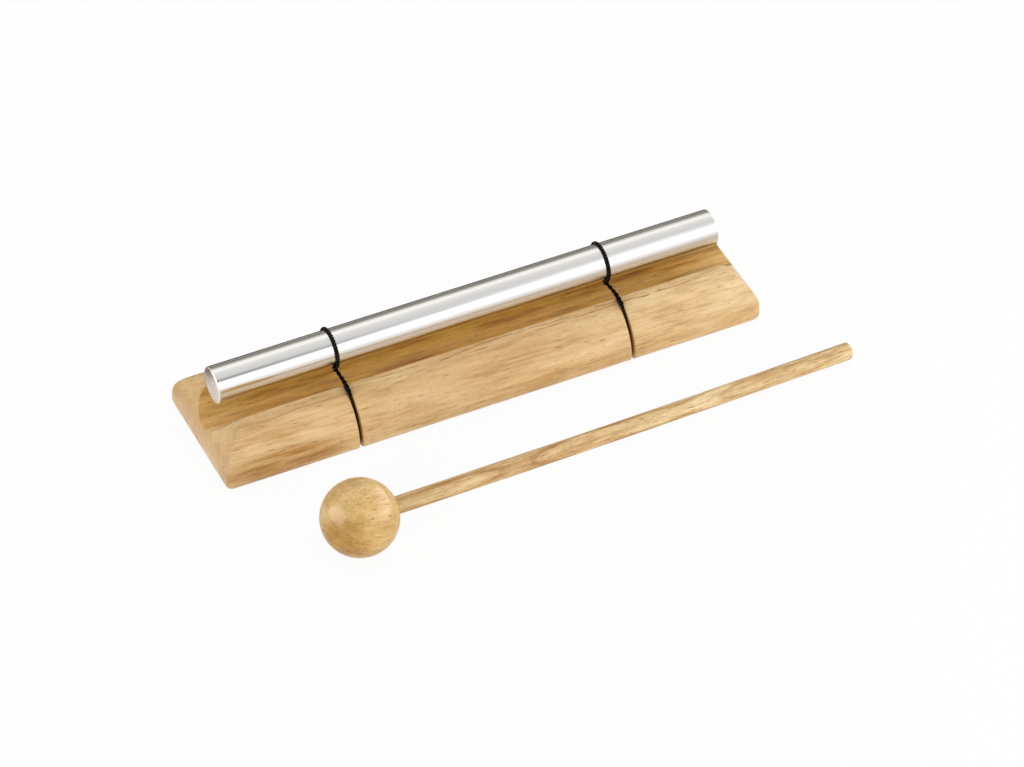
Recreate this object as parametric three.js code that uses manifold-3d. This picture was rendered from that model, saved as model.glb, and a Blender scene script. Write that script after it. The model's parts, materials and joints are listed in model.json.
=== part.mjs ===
// Chime bar: a solid round rod hung on two cord slings over a troughed wooden base,
// with its ball mallet lying in front.
// Millimetres, +Z up. The origin is the centre of the base's flat underside,
// +X runs along the rod and -Y is the front.

import * as THREE from "three";
import { mergeVertices } from "three/addons/utils/BufferGeometryUtils.js";
import Module from "manifold-3d";

// Clearances shared by all pieces
const touchGap = 0.3; // between pieces that rest on, grip or meet each other
const overrun = 2; // how far a cutter runs past what it cuts

// Base: one block of hardwood with big rounded top edges and a cove along its top
const baseLength = 292;
const baseWidth = 71.5;
const baseHeight = 28;
const sideShoulder = 23; // radius of the two long top edges
const endShoulder = 21; // radius of the two short top edges
const bottomRound = 5; // radius round the foot
const cornerRound = 1; // radius of the four upright corners
const troughWidth = 31; // from crest to crest
const troughDepth = 12; // below the top of the block

// Saw kerfs round the base, which hold the cords
const kerfWidth = 1.8;
const kerfCrestDepth = 0.9;
const kerfWallDepth = 4;
const kerfFootDepth = 3;
const kerfBend = 2; // radius of the kerf's floor at the foot

// Chime rod
const rodDiameter = 19;
const rodLength = 272;
const rodChamfer = 0.7;
const rodLift = 2.2; // from the crests up to the lowest line of the rod
const rodAside = -1.7; // how far the rod hangs from the middle of the base
const supportShare = 0.227; // of the rod's length, from each end to its cord

// Cord slings
const loopCord = 2; // cord round the rod
const strandCord = 2.4; // two cords laid together, from the knot to the crest
const wrapCord = 2.6; // the bound stretch that lies over the crest
const kerfCord = 1.2; // the cord drawn down into the kerf
const knotSize = 3.8;
const tailCord = 1.5;
const tailLength = 3.4; // cord end that sticks out of the front knot
const knotAngle = 50; // degrees below level, seen from the rod's axis
const wrapInside = 1.5; // how far the bound stretch starts inside the crest
const wrapReach = 8.5; // how far it runs outwards over the shoulder

// Mallet
const headDiameter = 39;
const stickDiameter = 9;
const stickLength = 280;
const stickEndRound = 1.6;
const boreDepth = 23;
const malletAside = 59.9; // from the base's front to the middle of the head
const malletAlong = -102.2; // middle of the head along the rod
const malletYaw = 3.7; // degrees that the stick turns away from the rod's line

// Facets
const shoulderSteps = 14;
const roundSteps = 4;
const troughSides = 56;
const rodSides = 40;
const cordSides = 8;
const loopSteps = 24;
const shortCordSteps = 6;
const wrapSteps = 8;
const kerfCordSteps = 78;
const knotRings = 8;
const headRings = 20;
const headSides = 32;
const boreSides = 24;

// Colours and finishes
const looks = {
  baseWood: { color: 0xd3a76c, roughness: 0.5, metalness: 0 },
  rodMetal: { color: 0xc9cbcd, roughness: 0.25, metalness: 1 },
  cord: { color: 0x141416, roughness: 0.85, metalness: 0 },
  headWood: { color: 0xd6a563, roughness: 0.4, metalness: 0 },
  stickWood: { color: 0xcf9f5f, roughness: 0.5, metalness: 0 },
};

// Sizes worked out from the ones above
const rodRadius = rodDiameter / 2;
const halfBase = baseWidth / 2;
const sideRound = Math.min(sideShoulder, baseHeight - bottomRound, halfBase);
const endRound = Math.min(endShoulder, baseHeight - bottomRound);
const halfTrough = troughWidth / 2;
const crestHeight = topHeightAt(halfTrough);
const troughDrop = crestHeight - (baseHeight - troughDepth);
const troughRadius = (halfTrough ** 2 + troughDrop ** 2) / (2 * troughDrop);
const rodHeight = crestHeight + rodLift + rodRadius;
const supportX = rodLength * (1 / 2 - supportShare);
const headRadius = headDiameter / 2;
const stickRadius = stickDiameter / 2;

const wasm = await Module();
wasm.setup();

// Height of the block's top, or of its rounded shoulder, at a distance from the middle.
function topHeightAt(across) {
  const past = Math.max(0, across - (halfBase - sideRound));
  return baseHeight - sideRound + Math.sqrt(sideRound ** 2 - past ** 2);
}

// Solids that can be joined and cut

function solid(geometry) {
  const bare = geometry.clone();
  bare.deleteAttribute("normal");
  bare.deleteAttribute("uv");
  const merged = mergeVertices(bare);
  return new wasm.Manifold(new wasm.Mesh({
    numProp: 3,
    vertProperties: Float32Array.from(merged.attributes.position.array),
    triVerts: Uint32Array.from(merged.index.array),
  }));
}

function geometryOf(body) {
  const mesh = body.getMesh();
  const geometry = new THREE.BufferGeometry();
  geometry.setAttribute("position", new THREE.BufferAttribute(mesh.vertProperties, 3));
  geometry.setIndex(new THREE.BufferAttribute(mesh.triVerts, 1));
  geometry.computeVertexNormals();
  return geometry;
}

// Outlines and extrusions

function arc(centreX, centreY, radius, from, to, steps) {
  const points = [];
  for (let step = 0; step <= steps; step += 1) {
    const angle = from + ((to - from) * step) / steps;
    points.push(new THREE.Vector2(
      centreX + radius * Math.cos(angle),
      centreY + radius * Math.sin(angle),
    ));
  }
  return points;
}

// Puts an extrusion's own x, y and z along three directions, centred along its depth.
function laid(shape, depth, alongX, alongY, alongZ) {
  const geometry = new THREE.ExtrudeGeometry(shape, { depth, bevelEnabled: false, steps: 1 });
  geometry.translate(0, 0, -depth / 2);
  return geometry.applyMatrix4(new THREE.Matrix4().makeBasis(alongX, alongY, alongZ));
}

const X = new THREE.Vector3(1, 0, 0);
const Y = new THREE.Vector3(0, 1, 0);
const Z = new THREE.Vector3(0, 0, 1);

const extrudedAlongX = (shape, depth) => laid(shape, depth, Y, Z, X);
const extrudedAlongY = (shape, depth) => laid(shape, depth, X, Z, Y.clone().negate());
const extrudedAlongZ = (shape, depth) => laid(shape, depth, X, Y, Z);

// A section of the block: flat foot, rounded bottom edges and big round shoulders.
function blockSection(half, shoulder) {
  const shoulderHeight = baseHeight - shoulder;
  return new THREE.Shape([
    ...arc(half - bottomRound, bottomRound, bottomRound, -Math.PI / 2, 0, roundSteps),
    ...arc(half - shoulder, shoulderHeight, shoulder, 0, Math.PI / 2, shoulderSteps),
    ...arc(shoulder - half, shoulderHeight, shoulder, Math.PI / 2, Math.PI, shoulderSteps),
    ...arc(bottomRound - half, bottomRound, bottomRound, Math.PI, Math.PI * 3 / 2, roundSteps),
  ]);
}

function blockPlan() {
  const x = baseLength / 2 - cornerRound;
  const y = halfBase - cornerRound;
  return new THREE.Shape([
    ...arc(x, -y, cornerRound, -Math.PI / 2, 0, roundSteps),
    ...arc(x, y, cornerRound, 0, Math.PI / 2, roundSteps),
    ...arc(-x, y, cornerRound, Math.PI / 2, Math.PI, roundSteps),
    ...arc(-x, -y, cornerRound, Math.PI, Math.PI * 3 / 2, roundSteps),
  ]);
}

// The wood that is left inside a kerf. Its floor is an arc from the crest down to the wall.
function kerfCore() {
  const wall = halfBase - kerfWallDepth;
  const shoulderHeight = baseHeight - sideRound;
  const across = wall - halfTrough;
  const rise = crestHeight - kerfCrestDepth - shoulderHeight;
  const radius = (across ** 2 + rise ** 2) / (2 * across);
  const crestAngle = Math.asin(rise / radius);
  const foot = kerfFootDepth + kerfBend;
  return new THREE.Shape([
    ...arc(wall - kerfBend, foot, kerfBend, -Math.PI / 2, 0, roundSteps),
    ...arc(wall - radius, shoulderHeight, radius, 0, crestAngle, shoulderSteps),
    ...arc(radius - wall, shoulderHeight, radius, Math.PI - crestAngle, Math.PI, shoulderSteps),
    ...arc(kerfBend - wall, foot, kerfBend, Math.PI, Math.PI * 3 / 2, roundSteps),
  ]);
}

function kerfCutter(x) {
  const y = halfBase + overrun;
  const top = baseHeight + overrun;
  const shape = new THREE.Shape([
    new THREE.Vector2(-y, -overrun),
    new THREE.Vector2(y, -overrun),
    new THREE.Vector2(y, top),
    new THREE.Vector2(-y, top),
  ]);
  shape.holes.push(new THREE.Path(kerfCore().getPoints()));
  return solid(extrudedAlongX(shape, kerfWidth).translate(x, 0, 0));
}

function baseGeometry() {
  const crossSection = blockSection(halfBase, sideRound);
  const longSection = blockSection(baseLength / 2, endRound);
  const trough = new THREE.CylinderGeometry(
    troughRadius, troughRadius, baseLength + 2 * overrun, troughSides);
  trough.rotateZ(Math.PI / 2).rotateX(Math.PI / troughSides);
  trough.translate(0, 0, baseHeight - troughDepth + troughRadius);
  let block = solid(extrudedAlongX(crossSection, baseLength + 2 * overrun))
    .intersect(solid(extrudedAlongY(longSection, baseWidth + 2 * overrun)))
    .intersect(solid(extrudedAlongZ(blockPlan(), 2 * (baseHeight + overrun))))
    .subtract(solid(trough));
  for (const side of [-1, 1]) {
    block = block.subtract(kerfCutter(side * supportX));
  }
  return geometryOf(block);
}

// Rod: turned round its own length, with a small chamfer at each end
function rodGeometry() {
  const half = rodLength / 2;
  const profile = [
    new THREE.Vector2(0, -half),
    new THREE.Vector2(rodRadius - rodChamfer, -half),
    new THREE.Vector2(rodRadius, rodChamfer - half),
    new THREE.Vector2(rodRadius, half - rodChamfer),
    new THREE.Vector2(rodRadius - rodChamfer, half),
    new THREE.Vector2(0, half),
  ];
  return new THREE.LatheGeometry(profile, rodSides).rotateZ(-Math.PI / 2);
}

// Cords

// A round cord along points that lie in one upright plane across the base.
function cordGeometry(points, diameter, x, steps) {
  const path = new THREE.CatmullRomCurve3(points.map((p) => new THREE.Vector3(x, p.x, p.y)));
  const section = new THREE.Shape(
    arc(0, 0, diameter / 2, 0, Math.PI * 2, cordSides).slice(0, cordSides));
  return new THREE.ExtrudeGeometry(section, { steps, extrudePath: path });
}

const mirrored = (points) => points.map((p) => new THREE.Vector2(-p.x, p.y));

// A place round the rod: the angle is in degrees below level on the front side.
function aroundRod(radius, degrees) {
  const angle = THREE.MathUtils.degToRad(degrees);
  return new THREE.Vector2(-radius * Math.cos(angle), rodHeight - radius * Math.sin(angle));
}

const loopRadius = rodRadius + touchGap + loopCord / 2;
const knotRadius = rodRadius + touchGap + knotSize / 2;
const knotPlace = aroundRod(knotRadius, knotAngle);
const knotHalfAngle = THREE.MathUtils.radToDeg((knotSize / 2 + touchGap) / loopRadius);

function loopPoints(from, to) {
  const points = [];
  for (let step = 0; step <= loopSteps; step += 1) {
    points.push(aroundRod(loopRadius, from + ((to - from) * step) / loopSteps));
  }
  return points;
}

// The loop lies over the rod from knot to knot, and under it the same way.
const loopOver = loopPoints(knotAngle - knotHalfAngle, knotHalfAngle - 180 - knotAngle);
const loopUnder = loopPoints(knotAngle + knotHalfAngle, 180 - knotAngle - knotHalfAngle);

// The bound stretch follows the shoulder at its own radius and the touching gap.
const shoulderY = halfBase - sideRound;
const shoulderZ = baseHeight - sideRound;
const wrapRise = touchGap + wrapCord / 2;
const wrapStart = halfTrough - wrapInside;
const wrapEnd = wrapStart + wrapReach;

// A place over, or below, the front shoulder: rise is measured along its normal.
function onShoulder(angle, rise) {
  const radius = sideRound + rise;
  return new THREE.Vector2(
    -(shoulderY + radius * Math.sin(angle)), shoulderZ + radius * Math.cos(angle));
}

const shoulderAngle = (across, rise) => Math.asin((across - shoulderY) / (sideRound + rise));

function wrapPoints() {
  const from = shoulderAngle(wrapStart, wrapRise);
  const to = shoulderAngle(wrapEnd, wrapRise);
  const points = [];
  for (let step = 0; step <= wrapSteps; step += 1) {
    points.push(onShoulder(from + ((to - from) * step) / wrapSteps, wrapRise));
  }
  return points;
}

// From the knot to the bound stretch, end face to end face.
function strandPoints() {
  const wrap = wrapPoints()[0];
  const pull = wrap.clone().sub(knotPlace).normalize();
  const start = knotPlace.clone().addScaledVector(pull, knotSize / 2 + touchGap);
  const end = wrap.clone().addScaledVector(pull, -touchGap);
  return [start, start.clone().lerp(end, 1 / 2), end];
}

// The front half of the cord in the kerf: it dips in from the end of the bound stretch,
// runs down the wall's kerf floor, turns at the foot and ends at the middle of the underside.
function kerfCordHalf() {
  const seat = touchGap + kerfCord / 2;
  const wallRise = seat - kerfWallDepth;
  const from = shoulderAngle(wrapEnd + touchGap, wrapRise);
  const points = [];
  for (let step = 0; step <= shoulderSteps; step += 1) {
    const share = step / shoulderSteps;
    const sunk = Math.sin((share * Math.PI) / 2);
    const rise = wrapRise + (wallRise - wrapRise) * sunk;
    points.push(onShoulder(from + (Math.PI / 2 - from) * share, rise));
  }
  const bend = kerfBend + seat;
  const wall = halfBase - kerfWallDepth + seat;
  const foot = kerfFootDepth - seat;
  points.push(...arc(bend - wall, foot + bend, bend, Math.PI, Math.PI * 3 / 2, roundSteps));
  return points;
}

function kerfCordPoints() {
  const front = kerfCordHalf();
  return [...front, ...mirrored(front).reverse()];
}

// A knot, and on the front one the cord end that sticks out along the rod.
function knotGeometry(x, place, tail) {
  const ball = new THREE.SphereGeometry(knotSize / 2, 2 * knotRings, knotRings);
  ball.translate(x, place.x, place.y);
  if (!tail) {
    return ball;
  }
  const end = new THREE.CylinderGeometry(tailCord / 2, tailCord / 2, tailLength, cordSides);
  end.rotateZ(Math.PI / 2);
  end.translate(x - knotSize / 2 - tailLength / 2 + tailCord / 2, place.x, place.y);
  return geometryOf(solid(ball).add(solid(end)));
}

// Mallet: built along its own +X with the head's middle at the origin

// How far past the head's middle the bottom of the bore lies.
const boreFloor = headRadius - boreDepth;
const stickInner = boreFloor + touchGap;
const stickReach = stickInner + stickLength;

function headGeometry() {
  const ball = new THREE.SphereGeometry(headRadius, headSides, headRings).rotateZ(-Math.PI / 2);
  const boreRadius = stickRadius + touchGap;
  const depth = boreDepth + overrun;
  const bore = new THREE.CylinderGeometry(boreRadius, boreRadius, depth, boreSides);
  bore.rotateZ(-Math.PI / 2).translate(boreFloor + depth / 2, 0, 0);
  return geometryOf(solid(ball).subtract(solid(bore)));
}

function stickGeometry() {
  const profile = [
    new THREE.Vector2(0, stickInner),
    new THREE.Vector2(stickRadius, stickInner),
    ...arc(stickRadius - stickEndRound, stickReach - stickEndRound, stickEndRound,
      0, Math.PI / 2, roundSteps),
    new THREE.Vector2(0, stickReach),
  ];
  return new THREE.LatheGeometry(profile, boreSides).rotateZ(-Math.PI / 2);
}

// Assembly

const chimeBar = new THREE.Group();

function add(name, geometry, look, parent = chimeBar) {
  const mesh = new THREE.Mesh(geometry, new THREE.MeshStandardMaterial(look));
  mesh.name = name;
  parent.add(mesh);
  return mesh;
}

add("base", baseGeometry(), looks.baseWood);

const rod = add("chime_rod", rodGeometry(), looks.rodMetal);
rod.position.set(rodAside, 0, rodHeight);

for (const [name, side] of [["left", -1], ["right", 1]]) {
  const x = side * supportX;
  const cord = (part, points, diameter, steps) => (
    add(`${name}_${part}`, cordGeometry(points, diameter, x, steps), looks.cord));
  cord("loop_over", loopOver, loopCord, loopSteps);
  cord("loop_under", loopUnder, loopCord, shortCordSteps);
  const rearPlace = new THREE.Vector2(-knotPlace.x, knotPlace.y);
  add(`${name}_front_knot`, knotGeometry(x, knotPlace, true), looks.cord);
  add(`${name}_rear_knot`, knotGeometry(x, rearPlace, false), looks.cord);
  cord("front_strand", strandPoints(), strandCord, shortCordSteps);
  cord("rear_strand", mirrored(strandPoints()), strandCord, shortCordSteps);
  cord("front_wrap", wrapPoints(), wrapCord, wrapSteps);
  cord("rear_wrap", mirrored(wrapPoints()), wrapCord, wrapSteps);
  cord("kerf_cord", kerfCordPoints(), kerfCord, kerfCordSteps);
}

// The mallet lies on the table: the head and the far end of the stick touch it.
const mallet = new THREE.Group();
mallet.position.set(malletAlong, -(halfBase + malletAside), headRadius);
mallet.rotation.order = "ZYX";
mallet.rotation.z = THREE.MathUtils.degToRad(malletYaw);
mallet.rotation.y = Math.asin((headRadius - stickRadius) / stickReach);
chimeBar.add(mallet);
add("mallet_head", headGeometry(), looks.headWood, mallet);
add("mallet_stick", stickGeometry(), looks.stickWood, mallet);

export default chimeBar;
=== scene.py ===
# %% [markdown]
# # A chime bar on its slings
#
# A chime bar is a solid metal rod that hangs in cord slings over a troughed block of
# hardwood, with a ball mallet to strike it. This lesson dresses a finished CAD model:
# the sizes and the moving bodies come from there, and each cell below makes one piece or
# one finish. Every new piece is a surface worked out with numpy, so that its shape can be
# read as a formula.

# %% Load the frame
import math

import bmesh
import bpy
import numpy as np
from mathutils import Matrix, Vector
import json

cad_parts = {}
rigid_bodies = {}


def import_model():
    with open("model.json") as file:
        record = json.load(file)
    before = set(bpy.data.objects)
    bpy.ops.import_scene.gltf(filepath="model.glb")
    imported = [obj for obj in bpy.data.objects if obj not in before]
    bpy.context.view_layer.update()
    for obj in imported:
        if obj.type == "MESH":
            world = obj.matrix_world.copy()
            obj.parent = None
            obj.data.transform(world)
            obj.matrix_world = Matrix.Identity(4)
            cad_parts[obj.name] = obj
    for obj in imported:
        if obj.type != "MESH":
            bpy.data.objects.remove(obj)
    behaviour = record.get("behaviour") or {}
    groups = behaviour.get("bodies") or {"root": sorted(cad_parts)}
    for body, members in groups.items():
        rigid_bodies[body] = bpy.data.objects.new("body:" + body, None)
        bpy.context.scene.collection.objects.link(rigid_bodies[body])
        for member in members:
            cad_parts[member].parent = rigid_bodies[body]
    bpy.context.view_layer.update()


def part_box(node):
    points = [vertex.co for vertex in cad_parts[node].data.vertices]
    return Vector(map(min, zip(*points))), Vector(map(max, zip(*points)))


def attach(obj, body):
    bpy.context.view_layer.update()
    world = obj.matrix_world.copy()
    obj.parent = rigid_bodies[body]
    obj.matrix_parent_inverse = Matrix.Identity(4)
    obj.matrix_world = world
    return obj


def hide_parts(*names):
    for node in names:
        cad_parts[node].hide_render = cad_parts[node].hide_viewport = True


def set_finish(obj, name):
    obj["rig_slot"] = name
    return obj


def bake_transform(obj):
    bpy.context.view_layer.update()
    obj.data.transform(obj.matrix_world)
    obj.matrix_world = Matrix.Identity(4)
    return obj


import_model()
scene = bpy.context.scene
scene.view_settings.view_transform = "Standard"

# %% [markdown]
# ## Sizes
#
# Blender counts in metres. The lengths below are written in millimetres times `mm`, and
# the large ones are read from the frame, so the pieces made here always fit it.

# %% The driving sizes
mm = 0.001


def box_of(node):
    """The lowest and highest corners of a CAD node, as numpy arrays."""
    low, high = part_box(node)
    return np.array(low), np.array(high)


_, base_high = box_of("base")
rod_low, rod_high = box_of("chime_rod")
head_low, head_high = box_of("mallet_head")

half_length = base_high[0]
half_width = base_high[1]
rod_middle = (rod_low + rod_high) / 2
rod_radius = (rod_high[2] - rod_low[2]) / 2
head_radius = (head_high[2] - head_low[2]) / 2
touch_gap = 0.3 * mm  # left between two pieces that touch, so that no faces meet
print("rod radius in mm:", round(rod_radius / mm, 2))

# %% [markdown]
# ## The camera
#
# The photograph was taken with a long lens from the front left, well above the table.
# A camera is easiest to keep true when it is written as the point it looks at, two
# angles and a distance, as a photographer would set a tripod.

# %% The camera
camera_target = Vector((12.80, -23.33, 0.29)) * mm
camera_azimuth = math.radians(-25.413)
camera_elevation = math.radians(42.999)
camera_distance = 2526.8 * mm
camera_lens = 178.53
camera_sensor = 36  # the width of a full-frame camera's sensor
camera_far = 100


def aim(item, place, target):
    """Puts an item at a place with its -Z axis towards a target."""
    item.location = place
    item.rotation_mode = "QUATERNION"
    item.rotation_quaternion = (target - place).to_track_quat("-Z", "Y")


def outwards(azimuth, elevation):
    """The unit vector at an azimuth from the front and an elevation above level."""
    level = math.cos(elevation)
    return Vector((
        math.sin(azimuth) * level,
        -math.cos(azimuth) * level,
        math.sin(elevation),
    ))


camera = bpy.data.objects.new("camera", bpy.data.cameras.new("camera"))
camera.data.lens = camera_lens
camera.data.sensor_width = camera_sensor
camera.data.clip_end = camera_far
aim(camera, camera_target + outwards(camera_azimuth, camera_elevation) * camera_distance,
    camera_target)
scene.collection.objects.link(camera)
scene.camera = camera
print("camera at", [round(v, 3) for v in camera.location])

# %% [markdown]
# ## Writing shaders as sums
#
# A material is a graph of nodes. Long graphs are hard to read as boxes and wires, so a
# small class wraps a node's output and gives it Python's arithmetic: `1 - mask` adds the
# Math node that works it out. All the other nodes come from one method of `Finish`, and
# its other methods name the few combinations that come back in every finish.


# %% Terms and finishes
class Term:
    """A number worked out by a shader, with Python's arithmetic on it."""

    def __init__(self, finish, socket):
        self.finish = finish
        self.socket = socket

    def maths(self, operation, *values):
        return self.finish.node("Math", {"operation": operation}, dict(enumerate(values)))

    def __add__(self, other):
        return self.maths("ADD", self, other)

    def __sub__(self, other):
        return self.maths("SUBTRACT", self, other)

    def __mul__(self, other):
        return self.maths("MULTIPLY", self, other)

    def __truediv__(self, other):
        return self.maths("DIVIDE", self, other)

    def __pow__(self, other):
        return self.maths("POWER", self, other)

    def __rsub__(self, other):
        return self.maths("SUBTRACT", other, self)

    def __rtruediv__(self, other):
        return self.maths("DIVIDE", other, self)

    __radd__ = __add__
    __rmul__ = __mul__

    def size(self):
        return self.maths("ABSOLUTE", self)

    def other(self, name):
        """Another output of the node that this term comes from."""
        return Term(self.finish, self.socket.node.outputs[name])

    def between(self, low, high):
        """0 below low, 1 above high, and a smooth step in between."""
        return self.finish.node(
            "MapRange", {"interpolation_type": "SMOOTHSTEP"},
            {"Value": self, "From Min": low, "From Max": high})


class Finish:
    """A node tree, of a material or of the world, that is built up term by term."""

    def __init__(self, owner):
        owner.use_nodes = True
        self.owner = owner
        self.tree = owner.node_tree
        self.tree.nodes.clear()

    def node(self, kind, settings=None, values=None, output=0):
        """Adds a node: its settings are set first, then its sockets' values or links."""
        made = self.tree.nodes.new("ShaderNode" + kind)
        for name, value in (settings or {}).items():
            if name == "stops":
                fill_ramp(made.color_ramp, value)
            else:
                setattr(made, name, value)
        for name, value in (values or {}).items():
            if isinstance(value, Term):
                self.tree.links.new(value.socket, made.inputs[name])
            else:
                made.inputs[name].default_value = value
        return Term(self, made.outputs[output]) if made.outputs else None

    def blend(self, factor, first, second, mode="MIX"):
        """Mixes two colours."""
        return self.node(
            "Mix", {"data_type": "RGBA", "blend_type": mode},
            {0: factor, 6: first, 7: second}, output=2)

    def tint(self, colour, by, share=1.0):
        """Multiplies a colour by another one, by a share from 0 to 1."""
        return self.blend(share, colour, by, "MULTIPLY")

    def noise(self, vector, scale, detail=2.0, roughness=0.5):
        """A smooth random number, between about 0.2 and 0.8, over a vector."""
        return self.node("TexNoise", None, {
            "Vector": vector, "Scale": scale, "Detail": detail, "Roughness": roughness})

    def field(self, parts, scales, detail=2.0, roughness=0.5):
        """Noise over three numbers, of which each is first multiplied by its scale."""
        stretched = self.joined(*(part * scale for part, scale in zip(parts, scales)))
        return self.noise(stretched, 1.0, detail, roughness)

    def parts(self, vector):
        """The three numbers of a vector."""
        made = self.node("SeparateXYZ", None, {"Vector": vector})
        return [made.other(axis) for axis in ("X", "Y", "Z")]

    def joined(self, x, y, z):
        return self.node("CombineXYZ", None, {"X": x, "Y": y, "Z": z})

    def grey(self, level):
        """A colour with the same number in all three places."""
        return self.joined(level, level, level)

    def stored(self, name):
        """A number that is stored on the points of the piece."""
        return self.node("Attribute", {"attribute_name": name}, output="Fac")

    def bump(self, height, distance):
        return self.node("Bump", None, {"Height": height, "Distance": distance})

    def ended(self, shader, output="OutputMaterial"):
        """Connects the last shader, and gives back the material or the world."""
        self.node(output, None, {"Surface": shader})
        return self.owner


def fill_ramp(ramp, stops):
    """Gives a colour ramp its stops, each a place from 0 to 1 and a colour."""
    while len(ramp.elements) > 1:
        ramp.elements.remove(ramp.elements[-1])
    for index, (place, colour) in enumerate(stops):
        element = ramp.elements[0] if index == 0 else ramp.elements.new(place)
        element.position = place
        element.color = colour


def colour_of(red, green, blue):
    """A colour as a screen shows it, 0 to 255, turned into the light that it stands for."""
    screen = np.array([red, green, blue]) / 255
    light = np.where(screen <= 0.04045, screen / 12.92, ((screen + 0.055) / 1.055) ** 2.4)
    return (*light.tolist(), 1.0)


print("white paper:", [round(v, 3) for v in colour_of(240, 240, 240)])

# %% [markdown]
# ## The floor
#
# The photograph is cut out on white. A real floor still grounds the object, so it is
# pale, it shows white to the camera and in reflections, and a share of its true shading
# is kept, which leaves the soft shadows under the base and the mallet.

# %% The floor
floor_reach = 30.0
floor_drop = 0.05 * mm
floor_colour = colour_of(244, 244, 244)
floor_glow = 0.94  # share of the floor's look that is plain white


def pale_floor():
    finish = Finish(bpy.data.materials.new("pale floor"))
    camera_ray = finish.node("LightPath", output="Is Camera Ray")
    mirror_ray = camera_ray.other("Is Glossy Ray") + camera_ray.other("Is Transmission Ray")
    seen = camera_ray + mirror_ray
    paper = finish.node("BsdfDiffuse", None, {"Color": floor_colour})
    white = finish.node("Emission", None, {"Color": (1, 1, 1, 1), "Strength": 1.0})
    mixed = finish.node("MixShader", None, {0: seen * floor_glow, 1: paper, 2: white})
    return finish.ended(mixed)


floor_mesh = bpy.data.meshes.new("floor")
floor_corners = [(x * floor_reach, y * floor_reach, -floor_drop)
                 for x, y in ((-1, -1), (1, -1), (1, 1), (-1, 1))]
floor_mesh.from_pydata(floor_corners, [], [(0, 1, 2, 3)])
floor = bpy.data.objects.new("floor", floor_mesh)
floor.data.materials.append(pale_floor())
scene.collection.objects.link(floor)
print("floor", 2 * floor_reach, "m across")

# %% [markdown]
# ## The studio light
#
# Polished metal has no look of its own: it shows the room. The rod's bands in the
# photograph tell where the panels stood: a white one from the front up to the camera, a
# thin dark seam, a wide ceiling panel, a bright strip past it and a dark room behind.
# The world shows that room to glossy rays, as a ramp over the angle that runs from the
# front horizon, over the top, to the back. Two side panels give the ball its highlights.
# All other rays get an even pale light.

# %% The room
# Angles from the front horizon in degrees, and how bright the room is there.
room_front = [(0, 0.66), (6, 0.76), (13, 0.95), (30, 1.0)]
room_back = [(74, 0.56), (86, 0.58), (99, 0.63), (108, 0.66), (116, 0.78), (127, 0.83),
             (134, 0.77), (142, 0.54), (152, 0.30), (163, 0.18), (180, 0.12)]
left_seam = [(45, 1.0), (49, 0.65), (53, 0.32), (57, 0.19), (61, 0.29), (67, 0.48)]
right_seam = [(53, 1.0), (58, 0.89), (63, 0.75), (67, 0.66), (70, 0.61)]
room_peak = 1.3
left_panel = 2.9
right_panel = 1.9
side_walls = 0.2
gap_shade = 0.72
even_light = 0.48


def warmed(grey, share):
    """A grey that turns towards a warm one by a share."""
    share = min(max(share, 0), 1)
    return (grey * (1 + 0.07 * share), grey, grey * (1 - 0.10 * share), 1)


def room_ceiling(finish, x, y, z):
    """The room from its front to its back, over the top. The dark seam is narrower on the
    right, and a darker gap lies low in front, to the left of the camera."""
    over = z.maths("ARCTAN2", z, 0 - y) / math.pi
    ramps = []
    for seam in (left_seam, right_seam):
        stops = [(angle / 180, warmed(grey, (angle - 90) / 90))
                 for angle, grey in room_front + seam + room_back]
        ramps.append(finish.node("ValToRGB", {"stops": stops}, {0: over}))
    ceiling = finish.blend(x.between(0.25, 0.36), *ramps)
    gap = (1 - over.between(0.30, 0.35)) * (1 - x.between(-0.15, 0.18)) * gap_shade
    return finish.tint(ceiling, finish.grey((1 - gap) * room_peak))


def room():
    """The studio for glossy rays, plain white for the camera, and for all other rays an
    even pale light."""
    finish = Finish(bpy.data.worlds.new("studio"))
    x, y, z = finish.parts(finish.node("TexCoord", output="Generated"))
    height = z.between(0.0, 0.04) * (1 - z.between(0.62, 0.78))
    left = (0 - x).between(0.62, 0.78) * y.between(-0.42, -0.22)
    right = x.between(0.62, 0.82)
    panels = height * (left * left_panel + right * right_panel) + side_walls
    seen = finish.blend(left + right, room_ceiling(finish, x, y, z), finish.grey(panels))
    ray = finish.node("LightPath", output="Is Camera Ray")
    plain = ray + (1 - ray) * even_light
    colour = finish.blend(ray.other("Is Glossy Ray"), finish.grey(plain), seen)
    light = finish.node("Background", None, {"Color": colour, "Strength": 1.0})
    return finish.ended(light, "OutputWorld")


scene.world = room()
print("stops in the room's ramp:", len(room_front + left_seam + room_back))

# %% [markdown]
# The lamps add soft shadows and a gentle change from side to side. Each is a panel that
# faces the middle of the base. They are hidden from mirror rays, because the rod already
# sees the room that is painted for it.

# %% The lamps
lamp_table = [  # name, azimuth, elevation, distance, width, height, power in watts
    ("ceiling panel", 0, 89, 1.3, 1.5, 0.5, 1.8),
    ("left panel", -54, 20, 1.5, 0.6, 0.8, 6.2),
    ("right panel", 78, 26, 1.5, 0.5, 0.9, 3.6),
    ("front panel", 44, 17, 1.0, 1.0, 0.45, 3.6),
    ("back panel", 180, 36, 1.4, 1.4, 0.5, 4.6),
]
for name, azimuth, elevation, distance, width, height, power in lamp_table:
    lamp = bpy.data.objects.new(name, bpy.data.lights.new(name, "AREA"))
    lamp.data.shape = "RECTANGLE"
    lamp.data.size = width
    lamp.data.size_y = height
    lamp.data.energy = power
    lamp.visible_glossy = False
    aim(lamp, outwards(math.radians(azimuth), math.radians(elevation)) * distance, Vector())
    scene.collection.objects.link(lamp)
print(len(lamp_table), "lamps")

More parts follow.
